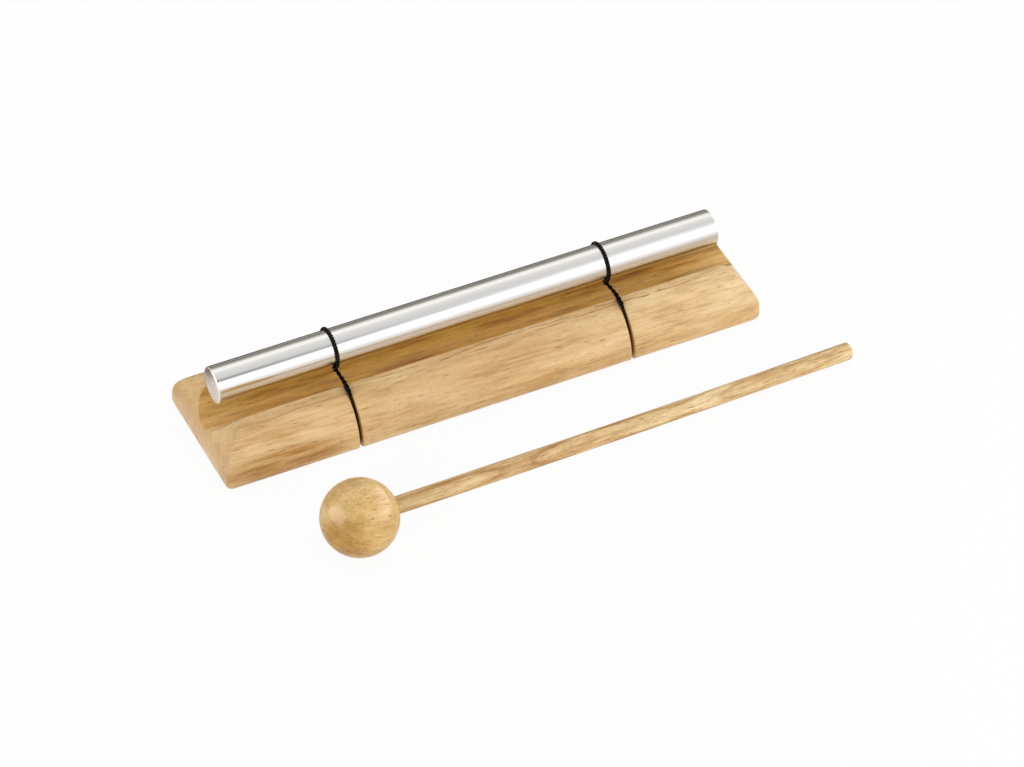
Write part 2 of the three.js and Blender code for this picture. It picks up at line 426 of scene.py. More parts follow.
# %% [markdown]
# Photographers lay cards where metal should show something darker than the white floor:
# a dark one behind the base, for the rod's upper edge, and a pale warm one in front, for
# its lower edge. Only mirror rays see them, so they neither show nor shade anything.

# %% The cards
card_lift = 0.1 * mm


def mirror_card(name, low, high, depths, colours):
    """A flat card just above the floor between two corners in mm, for mirror rays alone.
    Its colour changes from front to back, at the given depths in mm."""
    mesh = bpy.data.meshes.new(name)
    corners = [(low[0], low[1]), (high[0], low[1]), (high[0], high[1]), (low[0], high[1])]
    mesh.from_pydata([(x * mm, y * mm, card_lift) for x, y in corners], [], [(0, 1, 2, 3)])
    card = bpy.data.objects.new(name, mesh)
    finish = Finish(bpy.data.materials.new(name))
    depth = finish.parts(finish.node("TexCoord", output="Object"))[1]
    share = (depth / mm - low[1]) / (high[1] - low[1])
    stops = [((y - low[1]) / (high[1] - low[1]), c) for y, c in zip(depths, colours)]
    colour = finish.node("ValToRGB", {"stops": stops}, {0: share})
    glow = finish.node("Emission", None, {"Color": colour, "Strength": 1.0})
    card.data.materials.append(finish.ended(glow))
    card.visible_camera = False
    card.visible_diffuse = False
    card.visible_shadow = False
    card.visible_transmission = False
    scene.collection.objects.link(card)
    print(name, "from", low, "to", high)


mirror_card("dark card", (-700, 45), (700, 900), (45, 900),
            (colour_of(104, 94, 86), colour_of(98, 90, 84)))
mirror_card("warm card", (-190, -900), (700, -40), (-900, -300, -150, -40),
            (colour_of(243, 240, 236), colour_of(230, 223, 214), colour_of(216, 204, 186),
             colour_of(214, 199, 178)))

# %% [markdown]
# ## From a grid of points to a mesh
#
# A surface is a function of two parameters. Its values on a grid are rows of points, and
# each cell of the grid is one face. A grid may close on itself, as a ring does, and an
# open end is closed with one point in its middle or with one flat face.


# %% Grids and meshes
def grid_faces(rows, columns, closed_rows=False, closed_columns=True):
    """The faces between neighbouring rows and columns of a grid, as four indices each."""
    row = np.arange(rows if closed_rows else rows - 1)[:, None]
    column = np.arange(columns if closed_columns else columns - 1)[None, :]
    next_row, next_column = (row + 1) % rows, (column + 1) % columns
    corners = np.broadcast_arrays(
        row * columns + column, row * columns + next_column,
        next_row * columns + next_column, next_row * columns + column)
    return np.stack([c.ravel() for c in corners], axis=1)


def ring_to_point(first, columns, point, outward):
    """Triangles from one ring of a grid to a single point."""
    here = first + np.arange(columns)
    there = first + (np.arange(columns) + 1) % columns
    pair = (here, there) if outward else (there, here)
    return np.stack([*pair, np.full(columns, point)], axis=1)


def new_piece(name, points, faces):
    """An object at the origin with these points and groups of faces, smooth shaded."""
    mesh = bpy.data.meshes.new(name)
    all_faces = [face for group in faces for face in group.tolist()]
    mesh.from_pydata(points.tolist(), [], all_faces)
    mesh.shade_smooth()
    mesh.update()
    piece = bpy.data.objects.new(name, mesh)
    scene.collection.objects.link(piece)
    return piece


def note(piece, name, values):
    """Stores one number for each point of a piece, for its material to read."""
    attribute = piece.data.attributes.new(name, "FLOAT", "POINT")
    attribute.data.foreach_set("value", np.asarray(values, np.float32))


def facing(piece, axis):
    """How squarely each point of a piece faces along an axis, from 0 to 1."""
    normals = np.zeros(len(piece.data.vertices) * 3, np.float32)
    piece.data.vertex_normals.foreach_get("vector", normals)
    return np.abs(normals.reshape(-1, 3) @ np.asarray(axis, np.float32))


print("one cell:", grid_faces(2, 2, closed_columns=False).tolist())

# %% [markdown]
# ## The shape of the base
#
# On a bench the block is run through a router along its four top edges and then through
# a cove cutter along its middle. The same three cuts make it here. A section across the
# block is an outline of arcs; carried along the block, its points are lowered to the end
# shoulder where that is lower, and drawn in a little at the foot and the corners. Where
# two cuts meet, a smooth minimum leaves the soft edge that sanding leaves.
#
# The two saw kerfs are part of the same grid: there the outline sinks to a second one,
# the kerf's floor, and comes up again.

# %% The outline across the base
base_height = 28 * mm
side_shoulder = 23 * mm
end_shoulder = 21 * mm
bottom_round = 5 * mm
corner_round = 2 * mm
half_trough = 15.5 * mm
trough_floor = 16 * mm
crest_round = 0.45 * mm
sanded_edge = 1.0 * mm
foot_steps, bend_steps, shoulder_steps, crest_steps, cove_steps = 12, 9, 56, 8, 40

shoulder_y = half_width - side_shoulder
shoulder_z = base_height - side_shoulder
crest_z = shoulder_z + math.sqrt(side_shoulder**2 - (half_trough - shoulder_y) ** 2)
trough_drop = crest_z - trough_floor
trough_radius = (half_trough**2 + trough_drop**2) / (2 * trough_drop)
trough_axis = trough_floor + trough_radius


def arc(centre, radius, start, stop, count):
    """Points on a circle from one angle to another, in degrees from +Y towards +Z."""
    angle = np.radians(np.linspace(start, stop, count))
    return np.array(centre) + radius * np.stack([np.cos(angle), np.sin(angle)], 1)


def meeting(first, first_radius, second, second_radius):
    """The upper right of the two points where two circles cross."""
    first, second = np.array(first), np.array(second)
    apart = np.linalg.norm(second - first)
    along = (apart**2 + first_radius**2 - second_radius**2) / (2 * apart)
    aside = math.sqrt(first_radius**2 - along**2)
    way = (second - first) / apart
    return first + way * along + np.array([way[1], -way[0]]) * aside


def angle_to(start, stop):
    return math.degrees(math.atan2(stop[1] - start[1], stop[0] - start[0]))


shoulder_centre = (shoulder_y, shoulder_z)
trough_centre = (0.0, trough_axis)
crest_centre = meeting(shoulder_centre, side_shoulder - crest_round,
                       trough_centre, trough_radius + crest_round)
shoulder_end = angle_to(shoulder_centre, crest_centre)
trough_start = angle_to(trough_centre, crest_centre)

foot_points = np.linspace((0, 0), (half_width - bottom_round, 0), foot_steps)
outline_parts = [
    foot_points[:-1],
    arc((half_width - bottom_round, bottom_round), bottom_round, -90, 0, bend_steps),
    arc(shoulder_centre, side_shoulder, 0, shoulder_end, shoulder_steps),
    arc(crest_centre, crest_round, shoulder_end, 180 + trough_start, crest_steps)[1:],
    arc(trough_centre, trough_radius, trough_start, -90, cove_steps)[1:],
]
half_outline = np.concatenate(outline_parts)
print("outline points on one side:", len(half_outline), "crest", crest_centre / mm)

# %% [markdown]
# The kerf is shallow at the crest and deeper down the wall, because the saw cut it straight
# while the shoulder bulges. Its floor has the same number of points as the outline, so each
# point knows how far it sinks. The points of the cove, from the middle of the crest inwards,
# are marked for the finish, because the trough gets painted shade and painted light as well
# as stains.

# %% The outline of a kerf's floor
kerf_width = 2.1 * mm
kerf_crest_depth = 0.9 * mm
kerf_wall_depth = 4 * mm
kerf_foot_depth = 3 * mm
kerf_bend = 2 * mm
kerf_edge = 0.3 * mm  # softened by sanding

kerf_top = crest_z - kerf_crest_depth
kerf_wall = half_width - kerf_wall_depth
kerf_across = kerf_wall - half_trough
kerf_rise = kerf_top - shoulder_z
kerf_radius = (kerf_across**2 + kerf_rise**2) / (2 * kerf_across)
kerf_end = math.degrees(math.asin(kerf_rise / kerf_radius))

foot_narrowed = foot_points * [(kerf_wall - kerf_bend) / (half_width - bottom_round), 1]
sunk_top = np.concatenate(outline_parts[3:])
sunk_top[:, 1] = np.minimum(sunk_top[:, 1], kerf_top)
half_floor = np.concatenate([
    (foot_narrowed + [0, kerf_foot_depth])[:-1],
    arc((kerf_wall - kerf_bend, kerf_foot_depth + kerf_bend), kerf_bend,
        -90, 0, bend_steps),
    arc((kerf_wall - kerf_radius, shoulder_z), kerf_radius, 0, kerf_end, shoulder_steps),
    sunk_top,
])


def whole(half):
    """A half outline and its mirror image, as one closed loop."""
    return np.concatenate([half, half[-2:0:-1] * [-1, 1]])


outline = whole(half_outline)
kerf_floor = whole(half_floor)
outer_points = len(half_outline) - len(outline_parts[4]) - len(outline_parts[3]) + 3
half_cove = (np.arange(len(half_outline)) >= outer_points) * 1.0
in_cove = np.concatenate([half_cove, half_cove[-2:0:-1]])
cut = np.linalg.norm(outline - kerf_floor, axis=1)
print("deepest cut in mm:", round(cut.max() / mm, 2))

# %% [markdown]
# The stations along the block stand close together where something bends: on the end
# shoulders, a step for every two degrees, and at the kerfs. The slings hold the rod at
# the two places where it does not move when it rings, so the kerfs are sawn there.

# %% The stations along the base
support_share = 0.227  # where along it a bar that rings does not move
station_step = 4 * mm
support_x = (rod_high[0] - rod_low[0]) * (0.5 - support_share)

end_angle = np.radians(np.linspace(0, 90, 46))
end_stations = half_length - end_shoulder + end_shoulder * np.sin(end_angle)
edge_angle = np.radians(np.linspace(0, 90, 5))
edge_across = kerf_width / 2 + kerf_edge * (1 - np.sin(edge_angle))
edge_sunk = kerf_edge * (1 - np.cos(edge_angle))
kerf_wall_x = [-kerf_width / 2, kerf_width / 2]
kerf_across_x = np.concatenate([-edge_across, kerf_wall_x, edge_across[::-1]])
whole_depth = 1.0  # a metre, which the local depth then limits
kerf_sunk = np.concatenate([edge_sunk, [whole_depth, whole_depth], edge_sunk[::-1]])


def stretch(start, stop, step):
    """Evenly spaced places strictly between two others."""
    return np.linspace(start, stop, max(2, round((stop - start) / step)) + 1)[1:-1]


clear = kerf_width / 2 + kerf_edge
middle = stretch(clear - support_x, support_x - clear, station_step)
outer = stretch(support_x + clear, end_stations[0], station_step)
right_half = np.concatenate([support_x + kerf_across_x, outer, end_stations])
right_sunk = np.concatenate([kerf_sunk, np.zeros(len(outer) + len(end_stations))])
stations = np.concatenate([-right_half[::-1], middle, right_half])
sunk = np.concatenate([right_sunk[::-1], np.zeros(len(middle)), right_sunk])
print("stations:", len(stations))


# %% [markdown]
# Now the outline is carried through the stations. Every cut is one formula on the whole
# grid: the kerf, then the end shoulder, which planes the crests away towards the ends,
# then the foot and the upright corners. The finish needs to know which points lie in a
# kerf or in the cove, and how squarely each faces the end grain.

# %% The block
right_corner_round = 3.0 * mm
crest_lift = 2 * sanded_edge  # keeps the end cut clear of the crests between the ends
crest_lift_over = 6 * mm
cove_fade = 0.8 * mm  # how deep the end cut goes until a point is out of the cove
merge_reach = 0.002 * mm


def smooth_lower(first, second, width):
    """The lower of two heights, with a rounded change from one to the other where they
    differ by less than the width."""
    close = np.clip(width - np.abs(first - second), 0, None)
    return np.minimum(first, second) - close**2 / (4 * width)


def block_points():
    """Each outline point, sunk towards the kerf's floor, lowered to the end shoulder and
    drawn in at the foot and the corners, at every station along the block."""
    way = kerf_floor - outline
    depth = np.linalg.norm(way, axis=1)
    unit = way / np.maximum(depth, 1e-9)[:, None]
    sink = np.minimum(sunk[:, None], depth[None, :])
    section = outline[None] + unit[None] * sink[..., None]
    y, z = section[..., 0], section[..., 1]
    past = np.abs(stations)[:, None]
    end_start = half_length - end_shoulder
    arched = np.sqrt(end_shoulder**2 - np.clip(past - end_start, 0, end_shoulder) ** 2)
    lift = np.clip((end_start - past) / crest_lift_over, 0, 1) * crest_lift
    uncut = z
    z = smooth_lower(z, base_height - end_shoulder + arched + lift, sanded_edge)
    cove = in_cove[None, :] * np.clip(1 - (uncut - z) / cove_fade, 0, 1)
    foot_past = np.clip(past - (half_length - bottom_round), 0, bottom_round)
    foot_up = bottom_round - np.sqrt(bottom_round**2 - foot_past**2)
    z = np.where(z < bottom_round, foot_up + z * (bottom_round - foot_up) / bottom_round, z)
    corner = np.where(stations > 0, right_corner_round, corner_round)[:, None]
    corner_past = np.clip(past - (half_length - corner), 0, corner)
    corner_in = corner - np.sqrt(corner**2 - corner_past**2)
    outer_share = np.clip((np.abs(y) - shoulder_y) / side_shoulder, 0, 1)
    y = y - np.sign(y) * outer_share * corner_in
    x = np.broadcast_to(stations[:, None], y.shape)
    return np.stack([x, y, z], axis=2), sink, cove


def merge_points(piece):
    """Merges the points that meet where a kerf runs out in the trough."""
    shape = bmesh.new()
    shape.from_mesh(piece.data)
    bmesh.ops.remove_doubles(shape, verts=shape.verts, dist=merge_reach)
    bmesh.ops.recalc_face_normals(shape, faces=shape.faces)
    shape.to_mesh(piece.data)
    shape.free()


def make_block():
    points, sink, cove = block_points()
    rows, columns = points.shape[:2]
    last = (rows - 1) * columns
    ends = [np.arange(columns)[None, ::-1], last + np.arange(columns)[None, :]]
    faces = [grid_faces(rows, columns)[:, ::-1], *ends]
    piece = new_piece("base_block", points.reshape(-1, 3), faces)
    note(piece, "kerf", (sink > 1.5 * kerf_edge).ravel())
    note(piece, "cove", cove.ravel())
    note(piece, "end_grain", facing(piece, (1, 0, 0)))
    merge_points(piece)
    return piece


base_block = make_block()
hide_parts("base")
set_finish(base_block, "base_wood")
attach(base_block, "base")
print("base block:", len(base_block.data.polygons), "faces")

# %% [markdown]
# ## The wood
#
# The block, the ball and the stick are a pale plantation hardwood. Its look has layers:
# growth rings, cut lengthwise into long lines; a fine fibre; short dark pores, which are
# tubes along the grain, so they show as dashes on a face and as dots on an end; and slow
# changes from pinkish to yellow. Each is a field in space around a pith line, so that
# the lines run on round every edge as they do in real wood. All three pieces share one
# recipe with their own numbers. It works in millimetres.

# %% The recipe for wood
wood_fields = {  # scale along and across the grain, detail, roughness
    "sway": (0.012, 0.010, 1.0, 0.5),  # bends the growth rings
    "fibre": (0.055, 2.4, 4.0, 0.62),
    "broad": (0.020, 0.11, 3.0, 0.55),  # slow light and dark bands
    "fleck": (0.075, 0.62, 2.0, 0.5),
    "hue": (0.017, 0.07, 1.0, 0.5),  # from yellow to pinkish
    "present": (0.014, 0.06, 1.0, 0.5),  # where the sharp growth lines show
}
ring_sway = 14.0
rosy_tint = colour_of(255, 240, 228)
line_tint = colour_of(206, 172, 138)


def wood(name, colours, grain_turn, pith, rings, pores, pore_colour, fibre_strength=0.8,
         line_strength=0.5, line_reach=1000.0):
    """A wood whose grain runs along X after the turn: soft rings round a pith line, a few
    sharp growth lines up to a reach, fibre, slow blotches, and pores in two sizes. The
    rings are a width and a strength, and the pores are sizes for pore_field."""
    finish = Finish(bpy.data.materials.new(name))
    place = finish.node("TexCoord", output="Object")
    turned = finish.node("Mapping", None, {
        "Vector": place, "Rotation": grain_turn, "Scale": (1000, 1000, 1000)})
    x, y, z = finish.parts(turned)
    sway, fibre, broad, fleck, hue, present = (
        finish.field((x, y, z), (long, wide, wide), detail, roughness)
        for long, wide, detail, roughness in wood_fields.values())
    away = ((y - pith[0]) ** 2 + (z - pith[1]) ** 2) ** 0.5 + (sway - 0.5) * ring_sway
    ring_width, ring_strength = rings
    soft = finish.node("TexNoise", {"noise_dimensions": "1D"}, {
        "W": away / ring_width, "Scale": 1.0, "Detail": 2.0, "Roughness": 0.6})
    sharp = finish.node("TexNoise", {"noise_dimensions": "1D"}, {
        "W": away / (2.2 * ring_width) + 19.0, "Scale": 1.0, "Detail": 0.0})
    across = finish.stored("end_grain").between(0.35, 0.95)

    tone = 0.5 + (soft - 0.5) * ring_strength + (fibre - 0.5) * fibre_strength
    tone = tone + (broad - 0.5) * 1.3 + (fleck - 0.5) * 0.9
    tone = tone + across * 0.45 * (0.5 - tone)
    stops = list(zip((0.12, 0.5, 0.95), colours))
    colour = finish.node("ValToRGB", {"stops": stops}, {0: tone})
    colour = finish.tint(colour, rosy_tint, hue.between(0.45, 0.70) * 0.35)

    lines = (1 - (sharp - 0.5).size().between(0.0, 0.016)) * present.between(0.47, 0.58)
    lines = lines * (1 - x.size().between(line_reach - 16, line_reach))
    colour = finish.tint(colour, line_tint, lines * line_strength * (1 - across * 0.7))

    crowd = fleck.between(0.36, 0.60) * 0.65 + 0.35
    large = pore_field(finish, x, y, z, pores[0]) * crowd
    small = pore_field(finish, x + 50.0, y, z, pores[1]) * 0.7
    pore = large.maths("MAXIMUM", large, small)
    colour = finish.blend(pore * 0.7, colour, pore_colour)
    return finish, place, colour, pore, fibre, across


def pore_field(finish, x, y, z, size):
    """Ellipsoids along the grain, one in each cell of a stretched lattice, of which a
    share is kept: 1 in a pore and 0 between them. The size is length, width and share."""
    length, width, share = size
    stretched = finish.joined(x / length, y / width, z / width)
    cells = finish.node("TexVoronoi", {"feature": "F1"}, {
        "Vector": stretched, "Scale": 1.0, "Randomness": 1.0})
    chance = finish.parts(cells.other("Color"))
    kept = chance[0].between(1 - share, 1.02 - share)
    return (1 - cells.between(0.16, 0.34)) * kept * (0.45 + chance[1] * 0.55)


def lacquered(finish, colour, pore, fibre, roughness, coat, coat_roughness, relief):
    """Ends a wood: its pores are sunk, its fibre is faintly raised, under clear lacquer."""
    height = fibre * 0.35 - pore * 0.4
    rough = roughness + (fibre - 0.5) * 0.2 + pore * 0.12
    wood_shader = finish.node("BsdfPrincipled", None, {
        "Base Color": colour, "Roughness": rough, "Coat Weight": coat,
        "Coat Roughness": coat_roughness, "Normal": finish.bump(height, relief)})
    return finish.ended(wood_shader)


print("wood:", len(wood_fields), "fields of noise")

# %% [markdown]
# The base adds touches of its own. On the outside the plank changes from place to place:
# darker, streaky heartwood at the foot of the left end, a paler patch above it, a faint tan
# in the middle, a painted sheen on the right front shoulder, which is made paler as if lit,
# and a few thin dark lines beside the front crest.

# %% The plank
plank_zones = {  # centre and reach in mm
    "heartwood": ((-116, -35, 9), (46, 16, 11)),
    "tanned": ((-15, -26, 22), (62, 15, 13)),
    # a painted sheen: the right front shoulder made paler, as if lit
    "painted_sheen": ((112, -25, 23), (54, 17, 14)),
    "pale_left": ((-108, -28, 21), (42, 15, 10)),
}
brown_tint = colour_of(202, 170, 108)
pale_and_sheen_tint = (1.15, 1.26, 1.42, 1)
crest_line_tint = colour_of(188, 140, 94)


def near(finish, place, centre, reach):
    """1 at a place in mm and 0 outside an ellipsoid round it, with a soft change."""
    offset = finish.node("Mapping", None, {
        "Vector": place, "Location": tuple(-c / r for c, r in zip(centre, reach)),
        "Scale": tuple(1000 / r for r in reach)})
    away = finish.node("VectorMath", {"operation": "LENGTH"}, {0: offset}, output="Value")
    return 1 - away.between(0.35, 1.0)


crest_lines = [  # from and to along the block, and how far outside the crest there, in mm
    (-62, -28, 2.2, 2.9), (-27, 3, 3.2, 4.8), (-8, 52, 1.2, 2.6), (20, 84, 4.4, 3.4),
    (56, 96, 1.0, 4.8), (82, 121, 4.2, 3.5)]


def crest_line_field(finish, place):
    """Thin broken lines in the wood, each straight but for a slight sway."""
    x, y, _ = finish.parts(place)
    x, outside = x / mm, (0 - y - half_trough) / mm
    sway = finish.noise(finish.joined(x * 0.06, 0.0, 0.0), 1.0, 2.0)
    broken = finish.noise(finish.joined(x * 0.16, y * 400, 4.0), 1.0, 1.0)
    total = 0.0
    for start, stop, first, last in crest_lines:
        share = (x - start) / (stop - start)
        off = outside - first - share * (last - first) + (sway - 0.5) * 1.6
        ends = share.between(0.0, 0.12) * (1 - share.between(0.88, 1.0))
        total = (1 - off.size().between(0.08, 0.34)) * ends + total
    return total * broken.between(0.38, 0.52)


def with_plank_zones(finish, place, colour):
    """The plank's colour with its zones and its thin lines."""
    x, y, z = finish.parts(place)
    zone = {name: near(finish, place, *where) for name, where in plank_zones.items()}
    streak = finish.field((x, y, z), (22, 300, 420), 3.0, 0.6)
    heart = zone["heartwood"] * (0.45 + streak.between(0.42, 0.60) * 0.55)
    colour = finish.tint(colour, brown_tint, heart)
    colour = finish.tint(colour, brown_tint, zone["tanned"] * 0.14)
    # Painted sheen on the right front shoulder, and a paler patch on the left.
    colour = finish.tint(colour, pale_and_sheen_tint, zone["painted_sheen"] + zone["pale_left"] * 0.35)
    return finish.tint(colour, crest_line_tint, crest_line_field(finish, place) * 0.8)


print("plank zones:", ", ".join(plank_zones))

# %% [markdown]
# The trough is painted deeper and more golden. This is painted shade under the rod together
# with painted bounce light from the wood, and it has brown stains along the grain. The
# painted shade fades towards the ends, most of all at the left front corner, where painted
# light lifts the colour. The strip on either side of the rod is darker still, a painted
# shadow of the rod, more so on the right.

# %% The trough
# These place and colour the cove's painted shade and painted bounce light, the rod's painted
# shadow beside it, and painted light at the left front corner; the stain is the wood's own.
shade_fade_ends = (0.104, 0.144)  # how far from the middle the deep colour fades, in metres
rod_shadow_darker_from = (0.04, 0.10)  # where the strip by the rod turns duller, in metres
stain_shift = 0.125  # slides the stains along the block
left_unshaded = ((-141, -11, 20), (28, 11, 13))  # centre and reach in mm
left_lit_corner = ((-142, -12, 19), (17, 9, 11))
stain_tint = colour_of(190, 156, 98)
shade_gold_tint = (1.16, 0.99, 0.39, 1)
rod_shadow_tint = colour_of(202, 196, 184)
painted_light_tint = (1.42, 1.40, 1.38, 1)


def with_trough_stain_and_shade(finish, place, colour):
    """The colour, changed inside the cove alone."""
    x, y, z = finish.parts(place)
    cove = finish.stored("cove")
    # Painted shade and painted bounce light: the cove is tinted deeper and more golden, less
    # so towards the ends and at the left front.
    deep = cove * (1 - x.size().between(*shade_fade_ends) * 0.42)
    deep = deep * (1 - near(finish, place, *left_unshaded) * 0.9)
    stain = finish.field((x + stain_shift, y, z), (24, 260, 260), 3.0, 0.6)
    colour = finish.tint(colour, stain_tint, deep * stain.between(0.40, 0.74))
    colour = finish.tint(colour, shade_gold_tint, deep)
    aside = y.size() / mm
    # Painted shadow of the rod: the strip beside it is darkened, more on the right.
    by_rod_shadow = aside.between(5.2, 7.6) * (0.45 + x.between(*rod_shadow_darker_from) * 0.45)
    colour = finish.tint(colour, rod_shadow_tint, cove * by_rod_shadow)
    # Painted light: the left front corner of the cove is lightened.
    return finish.tint(colour, painted_light_tint, cove * near(finish, place, *left_lit_corner) * 0.8)


print("trough radius in mm:", round(trough_radius / mm, 2))

# %% [markdown]
# Last come the two places where a saw has been. The end faces show end grain and are a
# little pinker, and a kerf is painted dark brown, partly the blade's scorch and partly
# painted shade inside the narrow slot.

# %% The base's finish
base_colours = (colour_of(234, 202, 149), colour_of(219, 183, 127), colour_of(190, 146, 86))
end_tint = colour_of(248, 236, 226)
scorch_and_shade = colour_of(124, 78, 24)
wood_relief = 0.02 * mm


def base_wood():
    finish, place, colour, pore, fibre, across = wood(
        "base wood", base_colours,
        grain_turn=(0, math.radians(-0.8), math.radians(1.4)), pith=(46, -58),
        rings=(3.6, 0.6), pores=((7.5, 0.9, 0.32), (4.2, 0.7, 0.34)),
        pore_colour=colour_of(140, 80, 14),
        fibre_strength=0.7, line_strength=0.65, line_reach=122.0)
    colour = with_plank_zones(finish, place, colour)
    colour = with_trough_stain_and_shade(finish, place, colour)
    colour = finish.tint(colour, end_tint, across * 0.4)
    # The kerf's scorch and painted shade inside the narrow slot.
    colour = finish.blend(finish.stored("kerf") * 0.95, colour, scorch_and_shade)
    return lacquered(finish, colour, pore, fibre, roughness=0.42, coat=0.2,
                     coat_roughness=0.3, relief=wood_relief)


base_block.data.materials.append(base_wood())
print("base finished")

# %% [markdown]
# ## The rod
#
# The rod is turned round its own length: a profile of radius over length, swept round.
# Its edges are broken by a small chamfer, which shows as a thin ring in the photograph.
# The end face keeps the fine grooves of the facing tool, cut here as real rings.

# %% A turned piece
def turned_points(profile, sides):
    """A profile of places along X and radii, swept round the X axis."""
    angle = np.linspace(0, 2 * np.pi, sides, endpoint=False)
    along = np.broadcast_to(profile[:, :1], (len(profile), sides))
    radius = profile[:, 1:]
    return np.stack([along, radius * np.cos(angle), radius * np.sin(angle)], axis=2)


def turned_piece(name, profile, sides, matrix, sag=0.0):
    """A turned solid whose profile starts and ends on the axis. A sag lowers its middle."""
    rings = turned_points(profile[1:-1], sides)
    rows = len(rings)
    poles = np.array([[profile[0, 0], 0, 0], [profile[-1, 0], 0, 0]])
    points = np.concatenate([rings.reshape(-1, 3), poles])
    share = (points[:, 0] - profile[0, 0]) / (profile[-1, 0] - profile[0, 0])
    points[:, 2] -= sag * np.sin(np.pi * np.clip(share, 0, 1))
    turn = np.array(matrix)
    points = points @ turn[:3, :3].T + turn[:3, 3]
    last = (rows - 1) * sides
    faces = [
        grid_faces(rows, sides)[:, ::-1],
        ring_to_point(0, sides, rows * sides, False),
        ring_to_point(last, sides, rows * sides + 1, True),
    ]
    return new_piece(name, points, faces)


rod_sides = 160
print("one side of the rod in mm:", round(2 * math.pi * rod_radius / rod_sides / mm, 2))

# %% [markdown]
# The profile starts on the axis, crosses the grooved end face, turns over the chamfer,
# whose two edges are a little rounded, and runs down the wall to the other end.

# %% The rod itself
rod_chamfer = 0.5 * mm
half_rod = (rod_high[0] - rod_low[0]) / 2
groove_depth = 0.012 * mm
groove_pitch = 0.55 * mm
wall_clear = 4 * mm


def rod_end():
    """From the axis outwards: the grooved face, the chamfer and the start of the wall."""
    radius = np.linspace(0, rod_radius - rod_chamfer - 0.1 * mm, 90)
    groove = groove_depth * (1 - np.cos(2 * np.pi * radius / groove_pitch)) / 2
    groove[0] = 0
    face = np.stack([half_rod - groove, radius], 1)
    edge = np.array([
        [half_rod, rod_radius - rod_chamfer - 0.04 * mm],
        [half_rod - 0.03 * mm, rod_radius - rod_chamfer + 0.02 * mm],
        [half_rod - rod_chamfer + 0.05 * mm, rod_radius - 0.06 * mm],
        [half_rod - rod_chamfer - 0.02 * mm, rod_radius - 0.01 * mm],
        [half_rod - rod_chamfer - 0.10 * mm, rod_radius],
        [half_rod - rod_chamfer - 0.60 * mm, rod_radius],
    ])
    return np.concatenate([face, edge])


wall_reach = half_rod - wall_clear
wall = np.linspace((wall_reach, rod_radius), (-wall_reach, rod_radius), 60)
rod_profile = np.concatenate([rod_end(), wall, rod_end()[::-1] * [-1, 1]])
rod_piece = turned_piece(
    "rod", rod_profile[::-1], rod_sides, Matrix.Translation(Vector(rod_middle)))
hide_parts("chime_rod")
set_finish(rod_piece, "rod_metal")
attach(rod_piece, "chime_rod")
note(rod_piece, "end_face", facing(rod_piece, (1, 0, 0)))
print("rod:", len(rod_piece.data.polygons), "faces")

# %% [markdown]
# The rod is drawn aluminium, polished lengthwise: mirror-like from afar, with faint streaks
# along it and a slight haze in patches where it was handled. It is duller in a band at half
# its height, and a little more so from left to right. The end face is rougher than the wall,
# warmer in colour, and pitted where the tool tore the metal. Its pits are painted more
# strongly towards the bottom of the face, which is painted shade.

# %% The rod's finish
metal_dark, metal_pale = colour_of(236, 235, 233), colour_of(246, 245, 243)
end_face_tint = colour_of(231, 222, 212)
pit_and_shade_colour = colour_of(150, 140, 130)
metal_relief = 0.004 * mm


def polished_metal():
    finish = Finish(bpy.data.materials.new("polished rod"))
    place = finish.node("TexCoord", output="Object")
    from_middle = finish.node("Mapping", None, {
        "Vector": place, "Location": tuple(-1000 * rod_middle),
        "Scale": (1000, 1000, 1000)})
    x, y, z = finish.parts(from_middle)
    end_face = finish.stored("end_face")
    end_mask = end_face.between(0.5, 0.95)
    streaks = finish.field((x, y, z), (0.02, 5.0, 5.0), 4.0, 0.6)
    haze = finish.field((x, y, z), (0.05, 0.2, 0.2), 3.0, 0.6)
    speck = finish.field((x, y, z), (1.5, 1.5, 1.5), 3.0, 0.7)
    pitted = finish.field((x, y, z), (1.1, 1.1, 1.1), 2.0, 0.6)
    rough = 0.075 + (streaks - 0.5) * 0.08 + haze.between(0.45, 0.75) * 0.04
    waist = (0 - z).between(-3.0, -0.8) * (1 - (0 - z).between(0.6, 2.8))
    rough = rough + x.between(-140, 150) * 0.09 + waist * 0.18
    rim = end_face.between(0.2, 0.5) * (1 - end_face.between(0.85, 0.98))
    rough = rough + end_mask * (0.22 + (speck - 0.5) * 0.12) + rim * 0.3
    colour = finish.blend(streaks * 0.6 + haze * 0.4, metal_dark, metal_pale)
    flat = end_face.between(0.96, 0.995)
    # Painted shade: the pits grow thicker towards the bottom of the end face.
    pits_and_shade = flat * pitted.between(0.46, 0.72) * (0.1 + (0 - z).between(-4.0, 6.0) * 0.25)
    colour = finish.blend(flat, colour, end_face_tint)
    colour = finish.blend(pits_and_shade, colour, pit_and_shade_colour)
    height = streaks * 0.25 + speck * end_mask * 0.8
    metal = finish.node("BsdfPrincipled", None, {
        "Base Color": colour, "Metallic": 1.0, "Roughness": rough,
        "Normal": finish.bump(height, metal_relief)})
    return finish.ended(metal)


rod_piece.data.materials.append(polished_metal())
print("rod finished")

# %% [markdown]
# ## The cords
#
# Each sling is black cord, laid from strands that wind round each other. A rope's outside
# is a simple formula: look along it, and the outline is the outer edge of a few circles
# set round a ring; that outline turns steadily as it goes along. So a cord is a tube
# whose radius depends on the angle minus the turn of the lay.
#
# Every stretch of the sling is held: round the rod, between knot and crest, over the
# shoulder and down in the kerf. So these are lines of the CAD model, dressed, and none
# of them hangs free.

